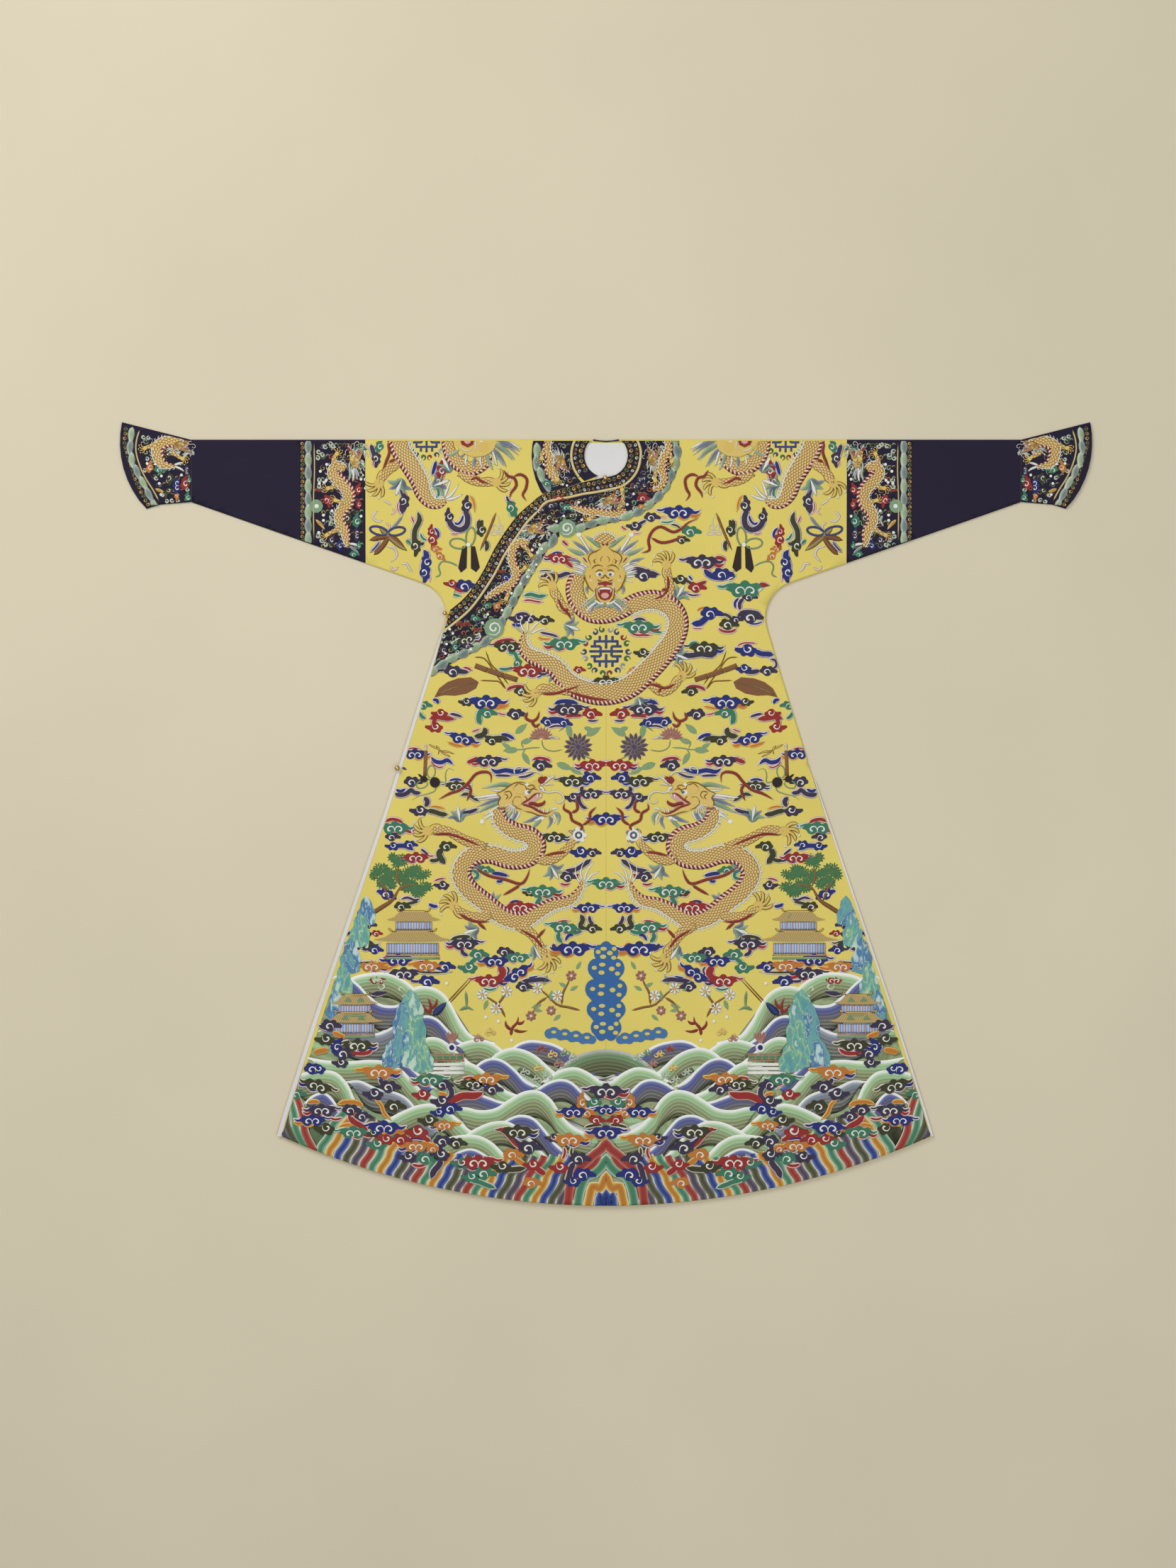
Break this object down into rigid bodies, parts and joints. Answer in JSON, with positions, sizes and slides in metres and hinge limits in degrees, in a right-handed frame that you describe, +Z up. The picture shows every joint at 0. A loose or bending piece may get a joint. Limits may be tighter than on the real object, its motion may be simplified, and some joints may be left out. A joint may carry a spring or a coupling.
{
  "type": "chinese dragon robe",
  "caption": "Yellow silk court robe laid flat, front up, with horse-hoof cuffs, navy collar and lapel bands, dragons, clouds and a wave and stripe hem.",
  "frame": {"origin": "middle of the footprint, on the surface that the robe lies on", "axes": "+Z up out of the front of the robe, +Y from hem to shoulder, +X towards the wearer's left sleeve"},
  "size_m": [1.8408, 1.484, 0.017],
  "materials": {
    "yellow_silk": "woven silk with embroidery in coloured floss and couched gold",
    "navy_silk": "woven silk with embroidery",
    "plain_navy_silk": "plain woven silk",
    "scroll_band": "brocade band with gold scrolls",
    "yellow_cord": "flat silk cord",
    "pale_lining": "plain white silk",
    "gilt_button": "gilt, polished"
  },
  "bodies": {
    "root": {"robe_right": "yellow_silk", "robe_left": "yellow_silk", "overlap_front": "yellow_silk", "back_lining": "pale_lining", "collar_right": "navy_silk", "collar_cord": "yellow_cord", "neck_band_right": "scroll_band", "neck_band_back": "scroll_band", "lapel_field": "navy_silk", "lapel_cord": "yellow_cord", "lapel_band": "scroll_band", "sleeve_band_right": "navy_silk", "sleeve_band_left": "navy_silk", "sleeve_right": "plain_navy_silk", "sleeve_left": "plain_navy_silk", "cuff_right": "navy_silk", "cuff_left": "navy_silk", "side_edge_right": "pale_lining", "side_edge_left": "pale_lining", "button_neck": "gilt_button", "button_armpit": "gilt_button", "button_side": "gilt_button", "loop_side": "navy_silk"}
  },
  "joints": []
}
